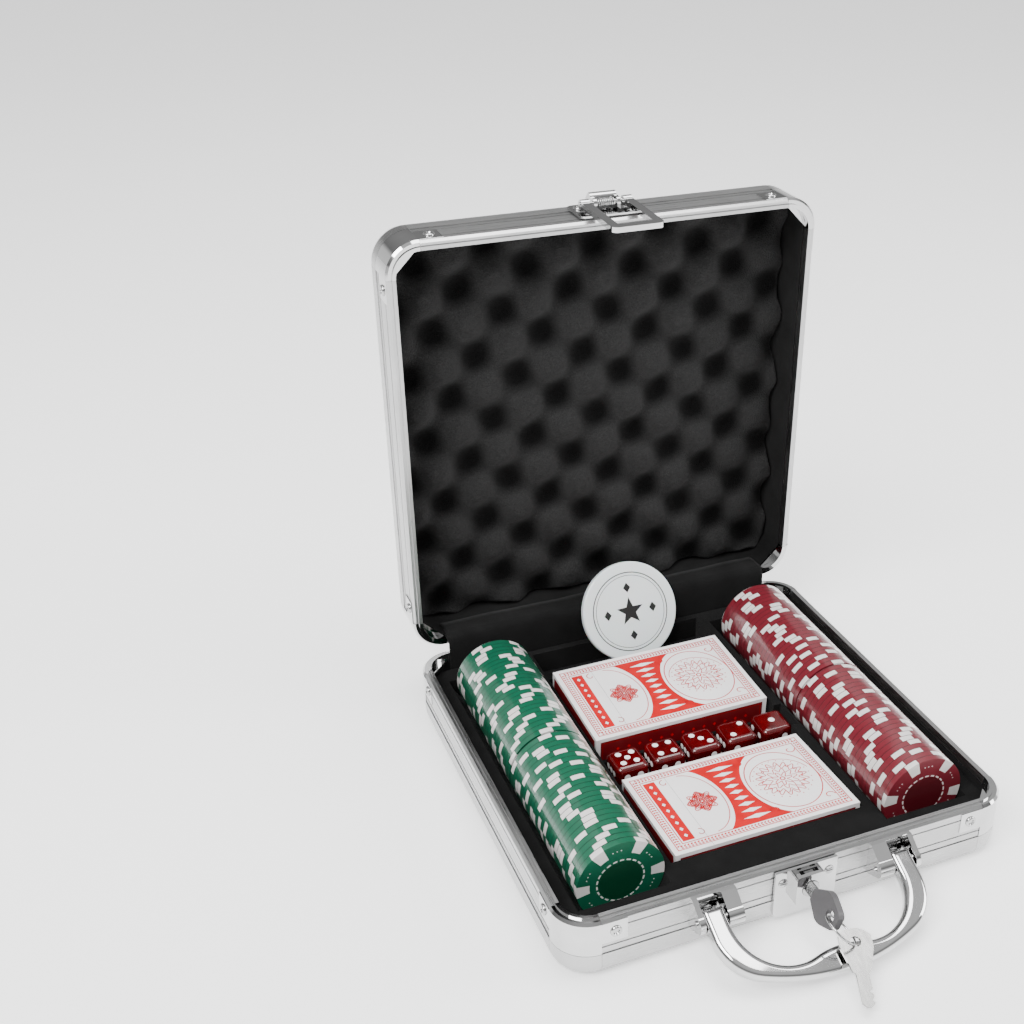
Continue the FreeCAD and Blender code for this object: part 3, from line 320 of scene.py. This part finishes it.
LOOKS = {
    ribbed: ["base_panel", "lid_panel"],
    rail_x: ["base_edge_rails", "lid_edge_rails", "base_rim_front", "base_rim_rear",
             "lid_rim_hinge_side", "lid_rim_latch_side"],
    rail_y: ["base_rim_left", "base_rim_right"],
    rail_z: ["lid_rim_left", "lid_rim_right"],
    satin: ["base_edge_corners", "lid_edge_corners"],
    chrome: ["base_rim_corners", "lid_rim_corners", "handle_bar", "handle_bracket_left",
             "handle_bracket_right", "lock_plate", "latch_plate", "hasp_frame", "hinge_leaves_base",
             "hinge_leaves_lid"],
    plated: ["base_rivets", "lid_rivets", "latch_rivets", "base_screws", "hinge_pins", "handle_pins",
             "hasp_pin", "hasp_spring", "lock_cylinder", "lock_bolt", "key_blade"],
    steel: ["spare_key"],
    nickel: ["key_ring"],
    label_face: ["label_plate"],
    cloth: ["base_lining", "lid_lining", "hinge_flap"],
    flock: ["chip_tray"],
    foam_look: ["lid_foam"],
    rubber: ["base_feet", "lid_feet"],
    bow_plastic: ["key_head"],
    card_white: ["card_box_front", "card_box_rear"],
    dice_look: ["die_1", "die_2", "die_3", "die_4", "die_5"],
    button_look: ["dealer_button"],
}
for look, names in LOOKS.items():
    for name in names:
        NODES[name].data.materials.clear()
        NODES[name].data.materials.append(look)


# ------------------------------------------------------------------ mesh helpers

def piece(name, verts, faces, look, body, smooth=False):
    """A mesh in the row frame with the given look; with a body it rides on that CAD body."""
    name = name.replace(" ", "_")
    mesh = bpy.data.meshes.new(name)
    mesh.from_pydata(verts, [], faces)
    mesh.materials.append(look)
    for polygon in mesh.polygons:
        polygon.use_smooth = smooth
    mesh.update()
    made = bpy.data.objects.new(name, mesh)
    bpy.context.scene.collection.objects.link(made)
    if body:
        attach(made, body)
    return made


class Print:
    """Flat printed shapes on a face: gathers polygons in face coordinates, in millimetres."""

    def __init__(self, to_row, lift=0.03):
        self.to_row = to_row
        self.lift = lift
        self.verts = []
        self.faces = []

    def polygon(self, points):
        start = len(self.verts)
        self.verts += [self.to_row @ Vector((a * MM, b * MM, self.lift * MM)) for a, b in points]
        self.faces.append(tuple(range(start, start + len(points))))

    def bar(self, left, low, right, high):
        self.polygon([(left, low), (right, low), (right, high), (left, high)])

    def frame(self, half_x, half_y, wide):
        for sign in (-1, 1):
            edge = sorted((sign * half_y, sign * (half_y - wide)))
            self.bar(-half_x, edge[0], half_x, edge[1])
            edge = sorted((sign * half_x, sign * (half_x - wide)))
            self.bar(edge[0], -half_y + wide, edge[1], half_y - wide)

    def ribbon(self, points, wide):
        """A line of even width through the points."""
        for (ax, ay), (bx, by) in zip(points, points[1:]):
            length = math.hypot(bx - ax, by - ay) or 1
            nx = -(by - ay) / length * wide / 2
            ny = (bx - ax) / length * wide / 2
            self.polygon([(ax - nx, ay - ny), (bx - nx, by - ny),
                          (bx + nx, by + ny), (ax + nx, ay + ny)])

    def curve(self, rule, steps, wide):
        self.ribbon([rule(i / steps) for i in range(steps + 1)], wide)

    def circle(self, x, y, radius_x, radius_y, wide, start=0.0, stop=1.0):
        def rule(t):
            angle = 2 * math.pi * (start + (stop - start) * t)
            return x + radius_x * math.cos(angle), y + radius_y * math.sin(angle)
        self.curve(rule, 56, wide)

    def disc(self, x, y, radius, sides=24):
        self.polygon([(x + radius * math.cos(2 * math.pi * i / sides),
                       y + radius * math.sin(2 * math.pi * i / sides)) for i in range(sides)])

    def rosette(self, x, y, inner, outer, petals, wide):
        """A closed flower line that swings between two radii."""
        def rule(t):
            swing = (math.cos(2 * math.pi * t * petals) + 1) / 2
            reach = inner + (outer - inner) * swing
            return x + reach * math.cos(2 * math.pi * t), y + reach * math.sin(2 * math.pi * t)
        self.curve(rule, petals * 10, wide)

    def done(self, name, look, body):
        return piece(name, self.verts, self.faces, look, body)


def scroll(sheet, x, y, size, turn, flip, wide):
    """A small corner scroll."""
    def rule(t):
        angle = turn + flip * t * 4.6
        reach = size * (1 - 0.78 * t)
        return x + reach * math.cos(angle), y + reach * math.sin(angle)
    sheet.curve(rule, 26, wide)


# ------------------------------------------------------------------ card boxes

def face_place(origin, tilt_degrees):
    return Matrix.Translation(origin) @ Matrix.Rotation(math.radians(tilt_degrees), 4, "X")


def hourglass(sheet, low, high, left_edge, right_edge):
    """A filled panel between two curved sides."""
    steps = 36
    for i in range(steps):
        a = low + (high - low) * i / steps
        b = low + (high - low) * (i + 1) / steps
        sheet.polygon([(left_edge(a), a), (right_edge(a), a), (right_edge(b), b), (left_edge(b), b)])


def chain_border(sheet, half_x, half_y, pitch, wide):
    """Two rows of little slanting links that run round the edge."""
    def run(ax, ay, bx, by):
        length = math.hypot(bx - ax, by - ay)
        count = round(length / pitch)
        ux, uy = (bx - ax) / length, (by - ay) / length
        for i in range(count):
            at = (i + 0.5) * length / count
            cx, cy = ax + ux * at, ay + uy * at
            for offset, slant in ((0.62, 1), (-0.62, -1)):
                px, py = cx - uy * offset, cy + ux * offset
                long_x, long_y = (ux + slant * -uy) * 0.56, (uy + slant * ux) * 0.56
                thin_x, thin_y = -long_y * 0.68, long_x * 0.68
                sheet.polygon([(px - long_x, py - long_y), (px + thin_x, py + thin_y),
                               (px + long_x, py + long_y), (px - thin_x, py - thin_y)])
    run(-half_x, -half_y, half_x, -half_y)
    run(half_x, -half_y, half_x, half_y)
    run(half_x, half_y, -half_x, half_y)
    run(-half_x, half_y, -half_x, -half_y)


def left_oval(y):
    return -22.5 + 15.5 * math.sqrt(max(0.0, 1 - (y / 25.5) ** 2))


def right_oval(y):
    return 22.5 - 18.6 * math.sqrt(max(0.0, 1 - (y / 24.5) ** 2))


def card_print(name, body, place):
    """The made-up pattern on a card box's large face, and the cut line of its lid."""
    flower_x, flower_y = 22.0, 0.4
    red = Print(place)
    red.frame(42.4, 26.2, 0.45)
    chain_border(red, 40.6, 24.4, 1.6, 1.0)
    red.frame(38.9, 22.7, 0.45)
    red.bar(-37.8, -21.4, -32.2, 21.4)
    hourglass(red, -22.4, 22.4, left_oval, right_oval)
    red.circle(-22.5, 0, 13.9, 21.2, 0.4, -0.235, 0.235)
    red.circle(22.0, 0, 16.6, 20.6, 0.5)
    red.circle(22.0, 0, 14.9, 14.9, 0.35, 0.04, 0.46)
    for inner, outer, petals, wide in ((9.0, 12.2, 18, 0.42), (7.6, 10.4, 14, 0.4),
                                       (4.8, 7.4, 11, 0.4), (2.0, 4.8, 7, 0.42)):
        red.rosette(flower_x, flower_y, inner, outer, petals, wide)
    red.circle(flower_x, flower_y, 1.1, 1.1, 0.6)
    beads = 24
    for i in range(beads):
        angle = 2 * math.pi * i / beads
        red.disc(flower_x + 13.4 * math.cos(angle), flower_y + 13.4 * math.sin(angle), 0.32, 8)
    for i in range(12):
        reach = 7.2 - 0.58 * i
        red.rosette(-18.4, 0.2, max(0.3, reach * 0.66), reach, 4 if i % 2 else 8, 0.46)
    for sx, sy in ((-1, -1), (-1, 1), (1, -1), (1, 1)):
        scroll(red, 22.0 + sx * 13.4, sy * 18.6, 2.8, math.pi / 2 * (1 - sx), -sx * sy, 0.5)
        scroll(red, -28.4, sy * 18.6, 2.5, math.pi / 2, sy, 0.45)
    red.done(name + " red print", card_red, body)
    pale = Print(place, 0.05)
    for i in range(-4, 5):
        y = i * 4.6
        middle = (left_oval(y) + right_oval(y)) / 2
        half = (right_oval(y) - left_oval(y)) / 2 * 0.62
        pale.polygon([(middle - half, y), (middle, y - 1.35), (middle + half, y), (middle, y + 1.35)])
        band_y = y * 0.98
        pale.polygon([(-35.9, band_y), (-35.0, band_y - 1.2), (-34.1, band_y), (-35.0, band_y + 1.2)])
    pale.done(name + " pale print", card_white, body)
    cut = Print(place, 0.06)
    cut.bar(-26.9, -28.5, -26.75, 28.5)
    cut.done(name + " lid cut", card_line, body)


def side_print(name, body, place, long_half, tall_half):
    """A dark panel with a line frame and a row of lozenges on a card box's narrow side."""
    side = Print(place)
    side.bar(-long_half, -tall_half, long_half, tall_half)
    side.done(name + " side panel", card_dark, body)
    line = Print(place, 0.05)
    line.frame(long_half - 1.0, tall_half - 0.9, 0.18)
    for i in range(-6, 7):
        x = i * (long_half - 6) / 6.5
        line.polygon([(x - 0.9, 0), (x, -1.1), (x + 0.9, 0), (x, 1.1)])
    line.done(name + " side lines", card_red, body)


for name, origin, tilt in (("card_box_front", (1.2, -45.1, 21.6), -2.1),
                           ("card_box_rear", (-0.5, 37.9, 25.8), 2.2)):
    top = face_place(Vector(origin) * MM, tilt)
    card_print(name, name, top)
    for turn, long_half, reach in ((0, 42.5, 28.5), (180, 42.5, 28.5),
                                   (90, 26.4, 44.7), (270, 26.4, 44.7)):
        spin = Matrix.Rotation(math.radians(turn), 4, "Z")
        upright = Matrix.Rotation(math.radians(90), 4, "X")
        side = top @ spin @ Matrix.Translation((0, -reach * MM, -7.9 * MM)) @ upright
        side_print("%s %d" % (name, turn), name, side, long_half, 6.0)


# ------------------------------------------------------------------ dice pips and button mark

DIE_HALF = 8 * MM
PIP_PITCH = 3.3
PIPS = {
    1: [(0, 0)],
    2: [(-1, -1), (1, 1)],
    3: [(-1, 1), (0, 0), (1, -1)],
    4: [(-1, -1), (-1, 1), (1, -1), (1, 1)],
    5: [(-1, -1), (-1, 1), (0, 0), (1, -1), (1, 1)],
    6: [(-1, -1), (-1, 0), (-1, 1), (1, -1), (1, 0), (1, 1)],
}
for index, top_count in enumerate((5, 4, 3, 2, 1)):
    body = "die_%d" % (index + 1)
    low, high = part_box(body)
    middle = (low + high) / 2
    side_count = {5: 4, 4: 5, 3: 2, 2: 3, 1: 2}[top_count]
    taken = (top_count, 7 - top_count, side_count, 7 - side_count)
    end_count = [n for n in (1, 2, 3) if n not in taken][0]
    counts = ((top_count, "X", 0), (7 - top_count, "X", 180), (side_count, "X", 90),
              (7 - side_count, "X", 270), (end_count, "Y", 90), (7 - end_count, "Y", 270))
    marks = Print(Matrix.Identity(4), 0.04)
    for count, axis, turn in counts:
        marks.to_row = (Matrix.Translation(middle) @ Matrix.Rotation(math.radians(turn), 4, axis)
                        @ Matrix.Translation((0, 0, DIE_HALF)))
        for a, b in PIPS[count]:
            marks.disc(a * PIP_PITCH, b * PIP_PITCH, 1.45 if count > 1 else 1.6)
    marks.done(body + " pips", pip_white, body)

face = Matrix.Translation(Vector((7.7, 93.5, 34.6)) * MM) @ Matrix.Rotation(math.radians(65), 4, "X")
for side, turn in (("front", 0), ("back", 180)):
    half_turn = Matrix.Rotation(math.radians(turn), 4, "Y")
    mark = Print(face @ half_turn @ Matrix.Translation((0, 0, 2 * MM)), 0.04)
    mark.circle(0, 0, 20.5, 20.5, 0.5)
    mark.circle(0, 0, 18.9, 18.9, 0.25)
    for i in range(4):
        angle = math.pi / 2 * i
        cx, cy = 12.6 * math.cos(angle), 12.6 * math.sin(angle)
        mark.polygon([(cx - 2.0, cy), (cx, cy - 2.6), (cx + 2.0, cy), (cx, cy + 2.6)])
    star = []
    for i in range(10):
        reach = 7.6 if i % 2 == 0 else 3.1
        angle = math.pi / 2 + math.pi / 5 * i
        star.append((reach * math.cos(angle), reach * math.sin(angle)))
    for i in range(10):
        mark.polygon([(0, 0), star[i], star[(i + 1) % 10]])
    mark.done("button mark " + side, ink, "dealer_button")


# ------------------------------------------------------------------ foam, flap and spring

# The open lid's own frame, from the hinge line and the swing past shut.
SWING = 89.4
HINGE_Y = 103.0
HINGE_Z = 34
LID_DEPTH = 26.0
swing = math.radians(SWING)
lid_y = HINGE_Y - HINGE_Y * math.cos(swing) + LID_DEPTH * math.sin(swing)
lid_z = HINGE_Z + HINGE_Y * math.sin(swing) + LID_DEPTH * math.cos(swing)
LID = (Matrix.Translation((0, lid_y * MM, lid_z * MM))
       @ Matrix.Rotation(math.radians(180 - SWING), 4, "X"))
FOAM_PITCH = 24.0
FOAM_BACK = 3.75


def foam_height(x, y):
    """Egg-crate: pits on a square grid, turned against the lid's sides."""
    turn = math.radians(-33)
    u = (x * math.cos(turn) + y * math.sin(turn)) / FOAM_PITCH
    v = (-x * math.sin(turn) + y * math.cos(turn)) / FOAM_PITCH
    wave = (math.cos(2 * math.pi * u) + math.cos(2 * math.pi * v)) / 2
    return 8.6 - 4.4 * max(wave, -0.8) + 0.35 * math.sin(x * 0.31 + 2) * math.cos(y * 0.27)


def foam_piece():
    """The foam sheet in the lid, its cut edge wandering a little and its corners cut round."""
    half_x, half_y, steps = 100.2, 98.2, 176
    corner, corner_reach = 11, 10.5
    verts = []
    faces = []
    pit_shade_heights = []
    for layer in (1, 0):
        for j in range(steps + 1):
            for i in range(steps + 1):
                a = -1 + 2 * i / steps
                b = -1 + 2 * j / steps
                wander_x = 0.5 * math.sin(b * 21) + 0.35 * math.sin(b * 47 + 1)
                wander_y = 0.6 * math.sin(a * 17 + 2) + 0.5 * math.sin(a * 39)
                x = a * (half_x - 1.2 + wander_x * abs(a) ** 8)
                y = b * (half_y - 1.4 + wander_y * abs(b) ** 8)
                over_x = max(0.0, abs(x) - (half_x - corner))
                over_y = max(0.0, abs(y) - (half_y - corner))
                reach = math.hypot(over_x, over_y)
                if over_x and over_y and reach > corner_reach:
                    x -= math.copysign(over_x * (1 - corner_reach / reach), x)
                    y -= math.copysign(over_y * (1 - corner_reach / reach), y)
                z = foam_height(x, y) if layer else FOAM_BACK
                pit_shade_heights.append(min(1.0, max(0.0, (z - 4.2) / 7.0)))
                verts.append(LID @ Vector((x * MM, y * MM, z * MM)))
    row = steps + 1
    deck = row * row
    for j in range(steps):
        for i in range(steps):
            a = j * row + i
            faces.append((a, a + 1, a + 1 + row, a + row))
            faces.append((deck + a, deck + a + row, deck + a + 1 + row, deck + a + 1))
    for i in range(steps):
        edge = steps * row
        for a, b in ((i, i + 1), (edge + i + 1, edge + i), ((i + 1) * row, i * row),
                     (i * row + steps, (i + 1) * row + steps)):
            faces.append((a, a + deck, b + deck, b))
    made = piece("egg-crate foam", verts, faces, foam_look, "lid", True)
    # The pit-to-crest heights go on the mesh to drive the painted shade in the foam's pits.
    heights = made.data.attributes.new("pit_shade_height", "FLOAT", "POINT")
    heights.data.foreach_set("value", pit_shade_heights)
    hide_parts("lid_foam")


foam_piece()


def flap_piece():
    """Thin cloth from the base, up over the hinge gap and into the lid."""
    profile = [(97.5, 14.0), (97.4, 22.0), (97.3, 30.0), (97.4, 35.5), (97.7, 38.0), (98.4, 39.3),
               (99.6, 39.9), (102.0, 39.8), (105.0, 39.6), (108.5, 39.5), (112.0, 39.3)]
    upright_rows = 5
    thick = 0.55
    steps = 120
    verts = []
    faces = []
    for side in (0, thick):
        for k, (y, z) in enumerate(profile):
            inward, under = (side * 1, side * 0) if k < upright_rows else (side * 0.2, side * 1)
            for i in range(steps + 1):
                x = -88.4 + 176.8 * i / steps
                soft = math.sin(x * 0.09 + 1) * 0.25 + math.sin(x * 0.23 + k) * 0.12
                lift = max(0.0, (k - 3) / 7) * (0.5 + soft)
                verts.append(Vector((x, y + inward, z + lift - under)) * MM)
    row = steps + 1
    sheet = row * len(profile)
    for k in range(len(profile) - 1):
        for i in range(steps):
            a = k * row + i
            faces.append((a, a + 1, a + 1 + row, a + row))
            faces.append((sheet + a, sheet + a + row, sheet + a + 1 + row, sheet + a + 1))
    last = (len(profile) - 1) * row
    for i in range(steps):
        faces.append((i + 1, i, sheet + i, sheet + i + 1))
        faces.append((last + i, last + i + 1, sheet + last + i + 1, sheet + last + i))
    for k in range(len(profile) - 1):
        a = k * row
        faces.append((a, a + row, sheet + a + row, sheet + a))
        b = a + steps
        faces.append((b + row, b, sheet + b, sheet + b + row))
    made = piece("cloth flap", verts, faces, cloth, None, True)
    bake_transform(made)
    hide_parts("hinge_flap")


flap_piece()


def spring_piece():
    """The hasp's coil spring round its pin."""
    low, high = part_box("hasp_spring")
    middle = (low + high) / 2
    turns, around, wire, coil = 9, 10, 0.33, 1.45
    steps = turns * 18
    half = (high.x - low.x) / 2 / MM - wire
    verts = []
    faces = []
    for s in range(steps + 1):
        t = s / steps
        angle = 2 * math.pi * turns * t
        for k in range(around):
            tube = 2 * math.pi * k / around
            reach = coil + wire * math.cos(tube)
            verts.append(middle + Vector((-half + 2 * half * t + wire * math.sin(tube),
                                          reach * math.cos(angle), reach * math.sin(angle))) * MM)
    for s in range(steps):
        for k in range(around):
            a = s * around + k
            b = s * around + (k + 1) % around
            faces.append((a, b, b + around, a + around))
    faces.append(tuple(range(around))[::-1])
    faces.append(tuple(range(steps * around, steps * around + around)))
    made = piece("coil spring", verts, faces, plated, "lid", True)
    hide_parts("hasp_spring")


spring_piece()


# ------------------------------------------------------------------ floor, light and camera

floor_look = Shader("pale floor", grey(0.9), 0.55, Emission_Color=(1, 1, 1, 1), Emission_Strength=0.7)
floor_look.put("Base Color", floor_look.ramp(floor_look.noise(6), (0.3, grey(0.90)), (0.7, grey(0.92))))
floor = piece("floor", [(-4, -4, 0), (4, -4, 0), (4, 4, 0), (-4, 4, 0)], [(0, 1, 2, 3)],
              floor_look.material, None)

world = bpy.data.worlds.new("studio")
bpy.context.scene.world = world
world.use_nodes = True
sky = world.node_tree
back = sky.nodes["Background"]
toward = sky.nodes.new("ShaderNodeTexCoord")
split = sky.nodes.new("ShaderNodeSeparateXYZ")
fade = sky.nodes.new("ShaderNodeValToRGB")
sky.links.new(toward.outputs["Generated"], split.inputs[0])
sky.links.new(split.outputs[2], fade.inputs[0])
sky.links.new(fade.outputs[0], back.inputs[0])
SKY = ((0.0, 1.0), (0.16, 0.9), (0.24, 0.22), (0.48, 0.38), (0.7, 0.75), (1.0, 0.8))
fill_ramp(fade.color_ramp.elements, [(position, grey(level)) for position, level in SKY])
back.inputs[1].default_value = 1.0


def softbox(name, place, aim, width, depth, power):
    """A rectangular area light turned to face a point."""
    light = bpy.data.lights.new(name, "AREA")
    light.shape = "RECTANGLE"
    light.size = width
    light.size_y = depth
    light.energy = power
    made = bpy.data.objects.new(name, light)
    bpy.context.scene.collection.objects.link(made)
    made.location = place
    made.rotation_euler = (Vector(aim) - Vector(place)).to_track_quat("-Z", "Y").to_euler()


softbox("key", (-0.9, -0.5, 1.3), (0, 0, 0.05), 0.9, 0.7, 34)
softbox("top", (0.2, 0.1, 1.6), (0, 0, 0.05), 1.2, 0.9, 26)
softbox("right", (1.3, -0.5, 0.7), (0, 0, 0.08), 0.5, 0.9, 13)

camera = bpy.data.objects.new("camera", bpy.data.cameras.new("camera"))
bpy.context.scene.collection.objects.link(camera)
bpy.context.scene.camera = camera
camera.data.lens = 48.07
camera.data.sensor_width = 36
camera.data.shift_x = -0.1096
camera.data.shift_y = 0.0698
camera.data.clip_start = 0.01
eye = Vector((-236.33, -460.15, 411.57)) * MM
target = Vector((-35.89, 0, 112.69)) * MM
look_at = (target - eye).to_track_quat("-Z", "Y").to_matrix().to_4x4()
roll = Matrix.Rotation(math.radians(0.46), 4, "Z")
camera.matrix_world = Matrix.Translation(eye) @ look_at @ roll
